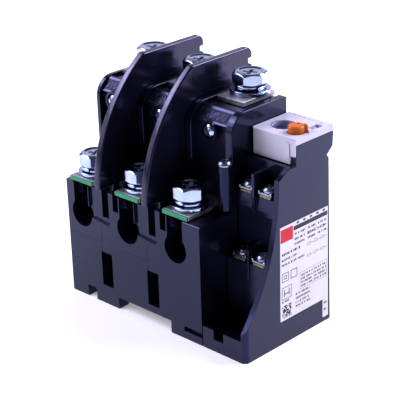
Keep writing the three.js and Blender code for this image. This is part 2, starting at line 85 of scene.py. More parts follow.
class Finish:
    """A Principled material built up from a few kinds of procedural detail."""

    def __init__(self, name, color, roughness, metallic=0.0, **sockets):
        self.material = bpy.data.materials.new(name)
        self.material.use_nodes = True
        self.tree = self.material.node_tree
        self.shader = self.tree.nodes["Principled BSDF"]
        self.color = (*color, 1)
        self.shader.inputs["Base Color"].default_value = self.color
        self.shader.inputs["Roughness"].default_value = roughness
        self.shader.inputs["Metallic"].default_value = metallic
        for socket, value in sockets.items():
            self.shader.inputs[socket.replace("_", " ")].default_value = value
        self.coords = self.tree.nodes.new("ShaderNodeTexCoord").outputs["Object"]
        self.bump = None

    def node(self, kind, **values):
        made = self.tree.nodes.new(kind)
        for key, value in values.items():
            if key in made.inputs:
                made.inputs[key].default_value = value
            else:
                setattr(made, key, value)
        return made

    def join(self, output, target):
        self.tree.links.new(output, target)

    def noise(self, scale, detail=3.0, stretch=(1, 1, 1)):
        """Noise in object space; stretch squeezes it along each axis."""
        mapping = self.node("ShaderNodeMapping")
        mapping.inputs["Scale"].default_value = stretch
        self.join(self.coords, mapping.inputs["Vector"])
        texture = self.node("ShaderNodeTexNoise", Scale=scale, Detail=detail)
        self.join(mapping.outputs["Vector"], texture.inputs["Vector"])
        return texture.outputs["Fac"]

    def ranged(self, source, low, high, start=0.3, end=0.7):
        """source from start to end becomes low to high."""
        made = self.node("ShaderNodeMapRange")
        made.inputs["From Min"].default_value = start
        made.inputs["From Max"].default_value = end
        made.inputs["To Min"].default_value = low
        made.inputs["To Max"].default_value = high
        self.join(source, made.inputs["Value"])
        return made.outputs["Result"]

    def tint(self, source, other, start=0.35, end=0.7):
        """Blends the base colour towards another where source is high."""
        mix = self.node("ShaderNodeMix", data_type="RGBA")
        self.join(self.ranged(source, 0, 1, start, end), mix.inputs["Factor"])
        below = self.shader.inputs["Base Color"]
        if below.is_linked:
            self.join(below.links[0].from_socket, mix.inputs["A"])
        else:
            mix.inputs["A"].default_value = self.color
        mix.inputs["B"].default_value = (*other, 1)
        self.join(mix.outputs["Result"], below)
        return self

    def rough(self, source, low, high, start=0.3, end=0.7):
        self.join(self.ranged(source, low, high, start, end), self.shader.inputs["Roughness"])
        return self

    def relief(self, source, strength, depth):
        """Adds a bump of a depth in millimetres on top of any bump so far."""
        made = self.node("ShaderNodeBump", Strength=strength, Distance=depth * MM)
        self.join(source, made.inputs["Height"])
        if self.bump:
            self.join(self.bump.outputs["Normal"], made.inputs["Normal"])
        self.join(made.outputs["Normal"], self.shader.inputs["Normal"])
        self.bump = made
        return self


def moulded(name, color, other, roughness, grain=0.0025, **sockets):
    """Moulded plastic: fine mould grain and faint handling marks."""
    made = Finish(name, color, roughness, **sockets)
    made.tint(made.noise(90, 4), other)
    made.rough(made.noise(420, 5), roughness - 0.04, roughness + 0.08)
    made.relief(made.noise(2600, 2), 0.4, grain)
    return made.material


def plated(name, color, other, roughness, lay=(1, 1, 1), grain=0.006, **sockets):
    """Bare or plated metal: mottled tone and fine marks along the direction it was worked in."""
    made = Finish(name, color, roughness, 1.0, **sockets)
    made.tint(made.noise(260, 4), other)
    made.rough(made.noise(900, 4, lay), roughness * 0.75, roughness * 1.5)
    made.relief(made.noise(2600, 3, lay), 0.3, grain)
    return made.material


# How the surface shines back: the black plastics return a bluish light, and print hardly shines.
BLACK = {"Specular_Tint": (0.36, 0.41, 1.0, 1), "IOR": 1.47}
SHINY_BLACK = {"Specular_Tint": (0.60, 0.57, 1.0, 1), "IOR": 1.56}
TEXTURED = {"Specular_Tint": (0.5, 0.5, 1.0, 1), "IOR": 1.3}
ORANGE = {"Specular_Tint": (1.0, 0.55, 0.25, 1)}
PRINT = {"IOR": 1.3}

MATERIALS = {
    "housing": moulded("housing_plastic", (0.003, 0.003, 0.008), (0.004, 0.004, 0.010), 0.17, **BLACK),
    "texture": moulded("textured_plastic", (0.004, 0.004, 0.012), (0.006, 0.006, 0.018), 0.46, **TEXTURED),
    "barrier": moulded(
        "barrier_plastic", (0.003, 0.003, 0.008), (0.004, 0.0035, 0.010), 0.19, 0.002, **SHINY_BLACK
    ),
    "cover": moulded("cover_plastic", (0.53, 0.52, 0.62), (0.50, 0.49, 0.59), 0.36),
    "dial": moulded("dial_plastic", (0.06, 0.07, 0.20), (0.05, 0.06, 0.18), 0.30),
    # A darker copy of the dial's blue: painted shade for the dial's centre.
    "shaded_dial_centre": moulded("dial_centre_shade_paint", (0.012, 0.014, 0.045), (0.009, 0.010, 0.035), 0.30),
    "button": moulded("orange_plastic", (0.52, 0.115, 0.006), (0.46, 0.095, 0.005), 0.36, **ORANGE),
    "test_button": moulded("grey_plastic", (0.52, 0.47, 0.62), (0.47, 0.42, 0.57), 0.42),
    "marker": moulded("green_strip", (0.012, 0.29, 0.12), (0.008, 0.21, 0.085), 0.55),
    "label": moulded("label_film", (0.68, 0.67, 0.66), (0.64, 0.63, 0.63), 0.50),
    "ink_dark": moulded("label_ink_dark", (0.020, 0.018, 0.040), (0.035, 0.03, 0.06), 0.50, **PRINT),
    "ink_grey": moulded("label_ink_grey", (0.13, 0.12, 0.18), (0.18, 0.17, 0.24), 0.50, **PRINT),
    "ink_red": moulded("label_ink_red", (0.58, 0.014, 0.030), (0.52, 0.012, 0.026), 0.48, **PRINT),
    "slider": moulded("phenolic", (0.45, 0.33, 0.15), (0.38, 0.27, 0.12), 0.50),
    "zinc": plated("zinc_plate", (0.42, 0.50, 0.70), (0.34, 0.42, 0.60), 0.12, grain=0.004),
    "tin": plated("tinned_copper", (0.50, 0.48, 0.51), (0.36, 0.34, 0.37), 0.46, (1, 6, 1), 0.02),
    "brass": plated("stamped_brass", (0.30, 0.25, 0.11), (0.22, 0.17, 0.07), 0.30, (1, 5, 1)),
    "bimetal": plated("bimetal_strip", (0.38, 0.36, 0.34), (0.28, 0.26, 0.25), 0.36, (1, 1, 8)),
    "heater": plated("heater_ribbon", (0.26, 0.22, 0.19), (0.16, 0.13, 0.12), 0.48, (6, 1, 1)),
    # Darker than the zinc plate: painted shade for the screws down in the pockets; also rougher.
    "zinc_shaded_dull": plated("zinc_shaded_dull", (0.26, 0.30, 0.39), (0.14, 0.16, 0.22), 0.24, grain=0.02),
    "spring": plated("spring_wire", (0.55, 0.57, 0.62), (0.42, 0.44, 0.48), 0.24),
}


# ---- mesh helpers ----

# Two places closer than this are on one face.
NEAR = 0.05 * MM
# In degrees: an edge that turns more than the first is rounded, and more than the second is shaded crisp.
EDGE_ANGLE, CRISP_ANGLE = 32, 38


def at(x, y, z):
    """A place in millimetres from the front left lower corner of the base housing."""
    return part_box("base_housing")[0] + Vector((x, y, z)) * MM


FROM_CORNER = Matrix.Translation(at(0, 0, 0))


def levels_of(node):
    """The lowest and highest z of a node in millimetres."""
    return [corner.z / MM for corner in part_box(node)]


def add_piece(name, mesh, material, slot, body, *nodes):
    """Adds a piece with smooth shading that stays crisp at real edges; nodes are what it stands for."""
    mesh.materials.clear()
    mesh.materials.append(MATERIALS[material])
    mesh.shade_smooth()
    mesh.set_sharp_from_angle(angle=math.radians(CRISP_ANGLE))
    piece = bpy.data.objects.new(name, mesh)
    bpy.context.scene.collection.objects.link(piece)
    weighted = piece.modifiers.new("weighted_normals", "WEIGHTED_NORMAL")
    weighted.keep_sharp = True
    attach(piece, body)
    if nodes:
        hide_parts(*nodes)
    return piece


def stand_in(node, mesh, material=None):
    """A detailed mesh in the place of one node, in the material of the node's slot unless one is given, on
    the node's body.
    """
    slot = SLOT_OF[node]
    return add_piece(node + "_detailed", mesh, material or slot, slot, BODY_OF[node], node)


def to_mesh(name, bm, place=None):
    """A mesh from bm, moved by place; bm is freed."""
    bmesh.ops.recalc_face_normals(bm, faces=bm.faces)
    if place:
        bm.transform(place)
    mesh = bpy.data.meshes.new(name)
    bm.to_mesh(mesh)
    bm.free()
    return mesh


def add_extra(name, node, bm, material=None, place=None):
    """A small piece that is no CAD node, in the material of the slot of the node that it sits on unless one
    is given, on that node's body.
    """
    mesh = to_mesh(name, bm, place)
    return add_piece(name, mesh, material or SLOT_OF[node], SLOT_OF[node], BODY_OF[node])


def clean_copy(node):
    """The node's surface as a mesh to edit, with its flat faces whole again."""
    bm = bmesh.new()
    bm.from_mesh(NODES[node].data)
    bmesh.ops.remove_doubles(bm, verts=bm.verts, dist=0.002 * MM)
    bmesh.ops.dissolve_limit(bm, angle_limit=math.radians(0.6), verts=bm.verts, edges=bm.edges)
    return bm


def bevel_edges(bm, width, chosen=lambda edge: True, segments=2):
    """Rounds every edge that turns enough and that chosen accepts."""
    edges = [
        e
        for e in bm.edges
        if len(e.link_faces) == 2 and e.calc_face_angle() > math.radians(EDGE_ANGLE) and chosen(e)
    ]
    bmesh.ops.bevel(
        bm,
        geom=edges,
        offset=width * MM,
        offset_type="OFFSET",
        segments=segments,
        profile=0.5,
        affect="EDGES",
        clamp_overlap=True,
    )
    return bm


def moulding(node, material, width=0.25, before=None):
    """A node as packed, with its edges rounded as a mould or a press leaves them."""
    bm = clean_copy(node)
    if before:
        before(bm)
    bevel_edges(bm, width)
    return stand_in(node, to_mesh(node, bm), material)


def skin(bm, rings, lengthwise=False):
    """Quads between closed rings of points in millimetres; lengthwise joins the last ring to the first."""
    made = [[bm.verts.new(Vector(p) * MM) for p in ring] for ring in rings]
    pairs = list(zip(made, made[1:]))
    if lengthwise:
        pairs.append((made[-1], made[0]))
    count = len(made[0])
    for low, high in pairs:
        for i in range(count):
            j = (i + 1) % count
            bm.faces.new((low[i], low[j], high[j], high[i]))
    if not lengthwise:
        bm.faces.new(made[0])
        bm.faces.new(made[-1])
    return bm


def rounded(points, radius, steps=3, closed=True):
    """Points in a plane with each corner replaced by a short curve that starts radius before it."""
    made = []
    count = len(points)
    for i, corner in enumerate(points):
        corner = Vector(corner)
        if not closed and i in (0, count - 1):
            made.append(corner)
            continue
        before = Vector(points[i - 1]) - corner
        after = Vector(points[(i + 1) % count]) - corner
        reach = min(radius, before.length * 0.45, after.length * 0.45)
        start = corner + before.normalized() * reach
        stop = corner + after.normalized() * reach
        for k in range(steps + 1):
            t = k / steps
            made.append(start * (1 - t) ** 2 + corner * 2 * t * (1 - t) + stop * t * t)
    return made


def lathe(bm, profile, steps=64, ring=False):
    """Turns an outline of (radius, height) points about z; ring closes the outline on itself."""
    angles = [2 * math.pi * i / steps for i in range(steps)]
    rings = [[(r * math.cos(a), r * math.sin(a), z) for a in angles] for r, z in profile]
    return skin(bm, rings, lengthwise=ring)


def plate(bm, outline, low, high, edge=0.15):
    """A flat piece with an outline in x and y, from low to high, its rims eased by edge."""
    middle = sum((Vector(p) for p in outline), Vector((0, 0))) / len(outline)
    inner = [Vector(p) + (middle - Vector(p)).normalized() * edge for p in outline]
    levels = [(inner, low), (outline, low + edge), (outline, high - edge), (inner, high)]
    return skin(bm, [[(p[0], p[1], z) for p in ring] for ring, z in levels])


def block(bm, low, high, edge=0.15):
    """A box with eased edges."""
    corners = [(low[0], low[1]), (high[0], low[1]), (high[0], high[1]), (low[0], high[1])]
    return plate(bm, rounded(corners, edge, 2), low[2], high[2], edge)


def subtract(bm, cutter):
    """bm with cutter cut out of it; both end up closed."""
    scene = bpy.context.scene.collection
    objects = []
    for part in (bm, cutter):
        bmesh.ops.recalc_face_normals(part, faces=part.faces)
        mesh = bpy.data.meshes.new("cut")
        part.to_mesh(mesh)
        part.free()
        objects.append(bpy.data.objects.new("cut", mesh))
        scene.objects.link(objects[-1])
    body, tool = objects
    modifier = body.modifiers.new("cut", "BOOLEAN")
    modifier.operation = "DIFFERENCE"
    modifier.solver = "EXACT"
    modifier.object = tool
    result = body.evaluated_get(bpy.context.evaluated_depsgraph_get()).to_mesh()
    made = bmesh.new()
    made.from_mesh(result)
    for used in objects:
        mesh = used.data
        bpy.data.objects.remove(used)
        bpy.data.meshes.remove(mesh)
    return made


def merge(bm, other):
    """Adds the faces of other to bm and frees it."""
    mesh = bpy.data.meshes.new("part")
    other.to_mesh(mesh)
    other.free()
    bm.from_mesh(mesh)
    bpy.data.meshes.remove(mesh)


def cross_cutter(arm, half_width, top, depth):
    """The shape of a tapered cross recess that starts above top."""

    def ring(reach, half, z):
        quarter = [(reach, -half), (reach, half), (half, half)]
        points = []
        for k in range(4):
            c, s = round(math.cos(k * math.pi / 2)), round(math.sin(k * math.pi / 2))
            points += [(x * c - y * s, x * s + y * c, z) for x, y in quarter]
        return points

    levels = [
        (arm * 1.12, half_width * 1.5, top + 0.6),
        (arm * 1.04, half_width * 1.2, top),
        (arm * 0.96, half_width, top - depth * 0.18),
        (arm * 0.42, half_width * 0.6, top - depth),
    ]
    return skin(bmesh.new(), [ring(*level) for level in levels])


# ---- housings ----

# The top of the load block in front, where the rounder right end of its top edge starts, and how round it is.
BLOCK_TOP, BLOCK_RIGHT, BLOCK_ROUND = 55.5, 70, 1.0
# How round the cover's top front edge is.
COVER_ROUND = 0.9


def soften_block(bm):
    """The load block's top front edge is rounder than its others at the right end."""
    start = at(BLOCK_RIGHT, 0.1, BLOCK_TOP)

    def is_block_top(edge):
        a, b = (v.co for v in edge.verts)
        level = abs(a.z - start.z) < NEAR and abs(b.z - start.z) < NEAR
        return level and max(a.y, b.y) < start.y and min(a.x, b.x) > start.x

    bevel_edges(bm, BLOCK_ROUND, is_block_top, segments=4)


moulding("base_housing", "housing", 0.5, soften_block)
for node in ("tower_housing", "side_housing"):
    moulding(node, "housing", 0.6)
for node in ("phase_barrier_1", "phase_barrier_2"):
    moulding(node, "barrier", 0.7)


def soften_front(bm):
    """The cover's top front edge is rounder than its others."""
    low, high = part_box("front_cover")
    front, top = low.y + COVER_ROUND * MM, high.z

    def is_front_top(edge):
        return all(v.co.y < front and abs(v.co.z - top) < NEAR for v in edge.verts)

    bevel_edges(bm, COVER_ROUND, is_front_top, segments=4)


moulding("front_cover", "cover", 0.25, soften_front)

# The post where the cover's front skirt turns onto the side wall: its front lower corner, its rear, its top.
POST_LOW, POST_REAR, POST_TOP = (106.3, 31.9, 83.4), 32.6, 90.4
post_right = (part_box("front_cover")[1].x - at(0, 0, 0).x) / MM
post = block(bmesh.new(), POST_LOW, (post_right, POST_REAR, POST_TOP), 0.25)
add_extra("cover_corner_post", "front_cover", post, place=FROM_CORNER)
moulding("rating_label", "label", 0.05)

# The sloped band at the top of each tower's front: its edges in (y, z), and each tower's span in x.
BAND_LOW, BAND_HIGH = Vector((22.9, 92.2)), Vector((28.2, 97.2))
BAND_SPANS = ((2.3, 18.4), (30.7, 48.0), (60.3, 80.0))
# The textured field on it: what it leaves free at each end, its half height, its underside and its face.
FIELD_END, FIELD_HALF, FIELD_LOW, FIELD_FACE = 1.2, 2.7, -0.3, 0.06
# The leaning ribs that stand for moulded text: pitch, what the row leaves free at each end, lean in degrees.
RIB_PITCH, RIB_END, RIB_LEAN = 0.95, 2, (-40, 25)
RIB_LOW_CORNER, RIB_HIGH_CORNER = (-0.13, -2.1, -0.2), (0.13, 2.1, 0.38)

band_middle = (BAND_LOW + BAND_HIGH) / 2
band_slope = BAND_HIGH - BAND_LOW
band_tilt = Matrix.Rotation(math.atan2(band_slope.y, band_slope.x), 4, "X")


def on_band(x):
    """Lays a piece made flat about the origin on the sloped bands, at x along them."""
    return Matrix.Translation(at(x, band_middle.x, band_middle.y)) @ band_tilt


for number, (left, right) in enumerate(BAND_SPANS, 1):
    middle = (left + right) / 2
    half = (right - left) / 2 - FIELD_END
    field = block(bmesh.new(), (-half, -FIELD_HALF, FIELD_LOW), (half, FIELD_HALF, FIELD_FACE), 0.02)
    add_extra(f"tower_band_field_{number}", "tower_housing", field, "texture", on_band(middle))
    ribs = bmesh.new()
    count = int((right - left - 2 * RIB_END) / RIB_PITCH)
    for k in range(count):
        rib = block(bmesh.new(), RIB_LOW_CORNER, RIB_HIGH_CORNER, 0.08)
        rib.transform(Matrix.Rotation(math.radians(random.uniform(*RIB_LEAN)), 4, "Z"))
        rib.transform(on_band(middle + (k - (count - 1) / 2) * RIB_PITCH))
        merge(ribs, rib)
    add_extra(f"tower_band_ribs_{number}", "tower_housing", ribs)

# The arched edge of a tower wall in y and z: where its lip starts in front, and ends under the plate.
TOWER_FRONT, TOWER_TOP, ARCH_RADIUS = 21.5, 98, 9
LIP_START, LIP_END = 74.0, 50.0
LIP_AT = (30.4, 59.9, 83.6)


def arch_bead(x, radius=0.42, steps=14, sides=10):
    """A round lip along the arched edge of a tower wall, from its front to the terminal plate."""
    path = [(TOWER_FRONT, LIP_START, 0.0)]
    centre_y, centre_z = TOWER_FRONT + ARCH_RADIUS, TOWER_TOP - ARCH_RADIUS
    for k in range(steps + 1):
        a = math.pi / 2 * k / steps
        path.append((centre_y - ARCH_RADIUS * math.cos(a), centre_z + ARCH_RADIUS * math.sin(a), a))
    path.append((LIP_END, TOWER_TOP, math.pi / 2))
    turns = [2 * math.pi * k / sides for k in range(sides)]
    circle = [(radius * math.cos(b), radius * math.sin(b)) for b in turns]
    rings = [[(x + c, y - d * math.cos(a), z + d * math.sin(a)) for c, d in circle] for y, z, a in path]
    return skin(bmesh.new(), rings)


for number, x in enumerate(LIP_AT, 1):
    add_extra(f"tower_arch_lip_{number}", "tower_housing", arch_bead(x), place=FROM_CORNER)

# The thin raised mould lines on the load face, each (left, right, low, high).
MOULD_LINES = (
    (1.5, 22.6, 30.2, 30.45),
    (22.4, 22.65, 26.4, 38.6),
    (35.2, 52.0, 30.2, 30.45),
    (52.0, 52.25, 26.4, 38.6),
)
LINE_HEIGHT = 0.07

mould_lines = bmesh.new()
for left, right, low, high in MOULD_LINES:
    merge(mould_lines, block(bmesh.new(), (left, -LINE_HEIGHT, low), (right, 0.1, high), 0.03))
add_extra("load_face_mould_lines", "base_housing", mould_lines, place=FROM_CORNER)


# ---- terminal hardware ----

HEX_SHARPNESS = 44


def hexagon_radius(across, angle):
    """Distance from the axis to a hexagon with slightly rounded corners."""
    total = sum(max(0.0, math.cos(angle - k * math.pi / 3)) ** HEX_SHARPNESS for k in range(6))
    return across / 2 * total ** (-1 / HEX_SHARPNESS)


def hex_head(across, bottom, top, steps=132):
    """A cold-formed head: hexagon with chamfered ends, raised rim, dished top."""
    flat, rim = across / 2 - 0.1, across / 2 - 0.15
    steep, slope = math.tan(math.radians(32)), math.tan(math.radians(33))
    angles = [2 * math.pi * i / steps for i in range(steps)]
    sections = []
    for a in angles:
        r = hexagon_radius(across, a)
        low = bottom + 0.25 + max(0, r - flat) * steep
        high = top - 0.35 - max(0, r - rim) * steep
        outline = [
            (2.0, bottom),
            (flat - 0.35, bottom),
            (min(r, flat), bottom + 0.22),
            (r, low),
            (r, high),
            (min(r, rim), top - 0.25),
            (rim - 0.4, top),
            (rim - 1.15, top - 0.05),
            (rim - 1.15 - 0.55 / slope, top - 0.6),
            (0.4, top - 0.75),
        ]
        sections.append(rounded(outline, 0.16, 2, closed=False))
    rings = [
        [(s[k][0] * math.cos(a), s[k][0] * math.sin(a), s[k][1]) for a, s in zip(angles, sections)]
        for k in range(len(sections[0]))
    ]
    return skin(bmesh.new(), rings)


def thread(bm, radius, low, high, pitch=1.25, depth=0.5, steps=36, rows=10):
    """A helical thread with a blunt start at its lower end."""
    rings = []
    for k in range(int((high - low) / pitch * rows) + 1):
        z = low + k * pitch / rows
        start = min(1.0, 0.75 + (z - low) / pitch * 0.25)
        ring = []
        for i in range(steps):
            turn = (z / pitch - i / steps) % 1
            r = (radius - depth * abs(2 * turn - 1)) * start
            a = 2 * math.pi * i / steps
            ring.append((r * math.cos(a), r * math.sin(a), z))
        rings.append(ring)
    return skin(bm, rings)


def axis_place(node, turn=0.0):
    """Moves a piece made about z onto the middle of a node, keeping its height."""
    low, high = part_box(node)
    middle = (low + high) / 2
    return Matrix.Translation((middle.x, middle.y, 0)) @ Matrix.Rotation(turn, 4, "Z")


def hex_bolt(node, across, head, turn):
    """An M8 bolt: a hexagon head of a height with a cross recess, and a threaded shank."""
    low, high = levels_of(node)
    bottom = high - head - 0.15
    bm = subtract(hex_head(across, bottom, high), cross_cutter(3.2, 0.75, high - 0.6, 2.3))
    thread(bm, 4.0, low, bottom + 0.5)
    stand_in(node, to_mesh(node, bm, axis_place(node, turn)))


def flat_washer(node, outer, bore=4.3):
    """A pressed washer, its two radii in millimetres."""
    low, high = levels_of(node)
    corners = [(bore, low - 0.25), (outer, low - 0.25), (outer, high + 0.05), (bore, high + 0.05)]
    bm = lathe(bmesh.new(), rounded(corners, 0.3), 96, ring=True)
    stand_in(node, to_mesh(node, bm, axis_place(node)))


def spring_washer(node, inner, outer, turn):
    """One turn of square wire whose two cut ends stand a little apart."""
    low, high = levels_of(node)
    thick, steps, opening = 1.5, 90, 0.07
    rings = []
    for k in range(steps + 1):
        t = k / steps
        a = opening + t * (2 * math.pi - 2 * opening)
        z = low - 0.15 + t * (high - low + 0.25 - thick)
        corners = [(inner, z), (outer, z + 0.1), (outer, z + thick - 0.1), (inner, z + thick)]
        rings.append([(r * math.cos(a), r * math.sin(a), h) for r, h in rounded(corners, 0.35)])
    bm = skin(bmesh.new(), rings)
    stand_in(node, to_mesh(node, bm, axis_place(node.replace("spring", "flat"), turn)))


# How far the bolts are turned about their axes, and where the gaps of the spring washers face.
LOAD_TURN, LINE_TURN = 0.45, 0.4
LOAD_GAP, LINE_GAP = -1.2, -0.4

for i in (1, 2, 3):
    hex_bolt(f"load_bolt_{i}", 13, 6.0, LOAD_TURN)
    hex_bolt(f"line_bolt_{i}", 14, 5.2, LINE_TURN)
    flat_washer(f"load_flat_washer_{i}", 8.0)
    flat_washer(f"line_flat_washer_{i}", 9.0)
    spring_washer(f"load_spring_washer_{i}", 4.2, 6.6, LOAD_GAP)
    spring_washer(f"line_spring_washer_{i}", 4.2, 7.0, LINE_GAP)
    moulding(f"load_plate_{i}", "tin", 0.18)
    moulding(f"line_plate_{i}", "tin", 0.18)
    moulding(f"terminal_strip_{i}", "marker", 0.1)


# ---- small screws and auxiliary terminals ----


def pan_head(radius, height, shank, length, depth=1.5):
    """A domed screw with a cross recess, seated at height 0."""
    outline = [
        (shank, 0),
        (radius - 0.1, 0),
        (radius, height * 0.5),
        (radius * 0.72, height * 0.92),
        (radius * 0.3, height),
        (0.2, height),
    ]
    head = lathe(bmesh.new(), rounded(outline, 0.35, 3, closed=False), 56)
    bm = subtract(head, cross_cutter(radius * 0.62, 0.42, height - 0.08, depth))
    return thread(bm, shank, -length, 0.1, 0.7, 0.28, 24, 8)


def clamp_washer(half):
    """The square captive washer under an auxiliary screw, with its two sides turned up."""
    bm = block(bmesh.new(), (-half, -half, -0.9), (half, half, 0), 0.2)
    for side in (-1, 1):
        ends = sorted((side * half, side * (half - 0.9)))
        block(bm, (ends[0], -half, -0.6), (ends[1], half, 0.8), 0.2)
    for k in range(4):
        y = -half + 1.2 + k * (2 * half - 2.4) / 3
        block(bm, (-half + 0.3, y - 0.35, -1.05), (half - 0.3, y + 0.35, -0.7), 0.12)
    return bm


def upright_screw(node, radius, height, shank, length, turn):
    """A screw that points up in its node, in a rougher zinc darkened with painted shade; returns where the
    seat of its head is.
    """
    seat = Matrix.Translation((0, 0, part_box(node)[1].z - height * MM))
    head = pan_head(radius, height, shank, length)
    stand_in(node, to_mesh(node, head, seat @ axis_place(node, turn)), "zinc_shaded_dull")
    return seat @ axis_place(node)


# The auxiliary screws and their clamps are in the darker zinc that paints the shade of their pocket.
for i in (1, 2, 3, 4):
    seat = upright_screw(f"aux_screw_{i}", 3.4, 2.6, 1.5, 6.4, 0.5 * i)
    add_extra(f"aux_clamp_{i}", f"aux_screw_{i}", clamp_washer(3.65), "zinc_shaded_dull", seat)
    moulding(f"aux_terminal_{i}", "brass", 0.12)

# The screws in the towers' fronts face the load side.
HEAD_HEIGHT = 2.2

for i in (1, 2, 3):
    node = f"housing_screw_{i}"
    low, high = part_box(node)
    seat = Matrix.Translation(((low.x + high.x) / 2, low.y + HEAD_HEIGHT * MM, (low.z + high.z) / 2))
    facing = seat @ Matrix.Rotation(math.pi / 2, 4, "X") @ Matrix.Rotation(0.7 * i, 4, "Z")
    stand_in(node, to_mesh(node, pan_head(3.2, HEAD_HEIGHT, 1.4, 3.6), facing))
upright_screw("housing_screw_4", 3.1, 2.4, 1.4, 5.5, 0.3)


# ---- dial, reset button, test slider ----

COVER_TOP = levels_of("front_cover")[1]


def current_dial():
    """A ring with graduation ribs round a slotted centre, the shaft below and its eccentric pin."""
    low, face = levels_of("current_dial")
    outline = [
        (0.3, low + 4.5),
        (2.2, low + 4.5),
        (2.2, low + 15),
        (5.9, low + 15),
        (5.9, face - 2.3),
        (4.85, face - 2.3),
        (4.85, face),
        (3.75, face),
        (3.6, face - 0.9),
        (3.35, face - 0.9),
        (3.2, face - 0.15),
        (0.3, face - 0.15),
    ]
    bm = lathe(bmesh.new(), rounded(outline, 0.12, 2, closed=False), 72)
    slot = block(bmesh.new(), (-2.7, -0.55, face - 1.3), (2.7, 0.55, face + 0.6), 0.1)
    bm = subtract(bm, slot)
    for k in range(20):
        rib = block(bmesh.new(), (4.0, -0.09, face - 0.1), (4.6, 0.09, face + 0.1), 0.04)
        rib.transform(Matrix.Rotation(k * math.pi / 10, 4, "Z"))
        merge(bm, rib)
    pin_outline = [(0.2, low), (1.3, low), (1.3, low + 5), (0.2, low + 5)]
    pin = lathe(bmesh.new(), rounded(pin_outline, 0.2, 2, closed=False), 32)
    pin.transform(Matrix.Translation((1.3 * MM, 0, 0)))
    merge(bm, pin)
    return bm


def knob_outline(radius, reach, half, steps=72):
    """A circle with a tab towards +x, its inner corners eased."""
    start = math.asin(half / radius)
    arc = [start + (2 * math.pi - 2 * start) * k / steps for k in range(steps + 1)]
    circle = [Vector((radius * math.cos(a), radius * math.sin(a))) for a in arc]
    tab = [(reach, -half), (reach, half)]
    return circle + rounded([circle[-1], *tab, circle[0]], 0.35, 3, closed=False)[1:-1]


def reset_knob():
    """A round button with a pointer tab, its top rounded over, and a small tapered hole beside the middle."""
    low, high = levels_of("reset_knob")
    outline = knob_outline(3.55, 4.8, 1.15)
    small = [p * (1 - 0.35 / p.length) for p in outline]
    smaller = [p * (1 - 0.75 / p.length) for p in outline]
    levels = [
        (small, low + 0.1),
        (outline, low + 0.4),
        (outline, high - 0.65),
        (small, high - 0.22),
        (smaller, high),
    ]
    bm = skin(bmesh.new(), [[(p.x, p.y, z) for p in ring] for ring, z in levels])
    hole = [(0.1, high + 0.5), (0.75, high + 0.5), (0.5, high - 0.15), (0.42, high - 1.6), (0.1, high - 1.6)]
    cutter = lathe(bmesh.new(), hole, 24)
    cutter.transform(Matrix.Translation((1.0 * MM, 0.9 * MM, 0)))
    return subtract(bm, cutter)


def reset_plunger():
    """The stem under the button, with the collar that the spring pushes up."""
    low, high = levels_of("reset_plunger")
    outline = [
        (0.3, low),
        (2, low),
        (2, low + 14.5),
        (3.3, low + 14.5),
        (3.3, low + 16),
        (2, low + 16),
        (2, high - 2.4),
        (1.5, high - 2.4),
        (1.5, high),
        (0.3, high),
    ]
    return lathe(bmesh.new(), rounded(outline, 0.2, 2, closed=False), 40)


def coil(radius, wire, low, high, turns, steps=36, sides=10):
    """A round wire, wire in radius, wound about z."""
    rings = []
    for k in range(turns * steps + 1):
        a = 2 * math.pi * k / steps
        z = low + (high - low) * k / (turns * steps)
        ring = []
        for i in range(sides):
            b = 2 * math.pi * i / sides
            r = radius + wire * math.cos(b)
            ring.append((r * math.cos(a), r * math.sin(a), z + wire * math.sin(b)))
        rings.append(ring)
    return skin(bmesh.new(), rings)


def dial_centre_painted_shade():
    """A dark disc round the dial's slot: painted shade over the dial's recessed centre."""
    face = levels_of("current_dial")[1]
    low, high = face - 0.3, face - 0.1
    disc = lathe(bmesh.new(), [(0.3, low), (3.1, low), (3.1, high), (0.3, high)], 56)
    return subtract(disc, block(bmesh.new(), (-2.75, -0.6, face - 1.3), (2.75, 0.6, face + 0.6), 0.1))


def dial_outline(inner=5.2, outer=5.5):
    """A thin dark ring round the cover's hole for the dial: painted shadow of the gap between dial and cover.
    """
    low, high = COVER_TOP - 0.05, COVER_TOP + 0.03
    return lathe(bmesh.new(), [(inner, low), (outer, low), (outer, high), (inner, high)], 72, ring=True)


DIAL_PLACE = axis_place("current_dial", 0.5)
RESET_PLACE = axis_place("reset_plunger")
KNOB_PLACE = RESET_PLACE @ Matrix.Rotation(math.pi / 4, 4, "Z")
# The spring: the middle of its wire at both ends, its wire's radius, and how far the button goes down.
SPRING_LOW, SPRING_HIGH, SPRING_WIRE, PRESS = 68.3, 75.8, 0.35, 1.5

stand_in("current_dial", to_mesh("current_dial", current_dial(), DIAL_PLACE))
# A dark disc painted as the shade in the dial's centre.
add_extra("dial_centre_painted_shade", "current_dial", dial_centre_painted_shade(), "shaded_dial_centre", DIAL_PLACE)
# A dark ring painted as the shadow in the gap round the dial.
gap_shadow_ring = to_mesh("dial_outline", dial_outline(), DIAL_PLACE)
add_piece("dial_outline", gap_shadow_ring, "ink_dark", SLOT_OF["current_dial"], BODY_OF["front_cover"])
stand_in("reset_knob", to_mesh("reset_knob", reset_knob(), KNOB_PLACE))
stand_in("reset_plunger", to_mesh("reset_plunger", reset_plunger(), RESET_PLACE))
winding = coil(2.85, SPRING_WIRE, SPRING_LOW, SPRING_HIGH, 5)
spring = stand_in("reset_spring", to_mesh("reset_spring", winding, RESET_PLACE))
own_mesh(spring)
moulding("test_slider", "test_button", 0.15)


# ---- marks on the cover ----

# The middle of the dial, and the ticks round it: how far out, their size, and their angles in degrees.
DIAL_AT = (93.6, 43.0)
TICK_RADIUS, TICK_LENGTH, TICK_WIDTH = 5.9, 1.1, 0.28
TICK_ANGLES = range(130, 311, 30)


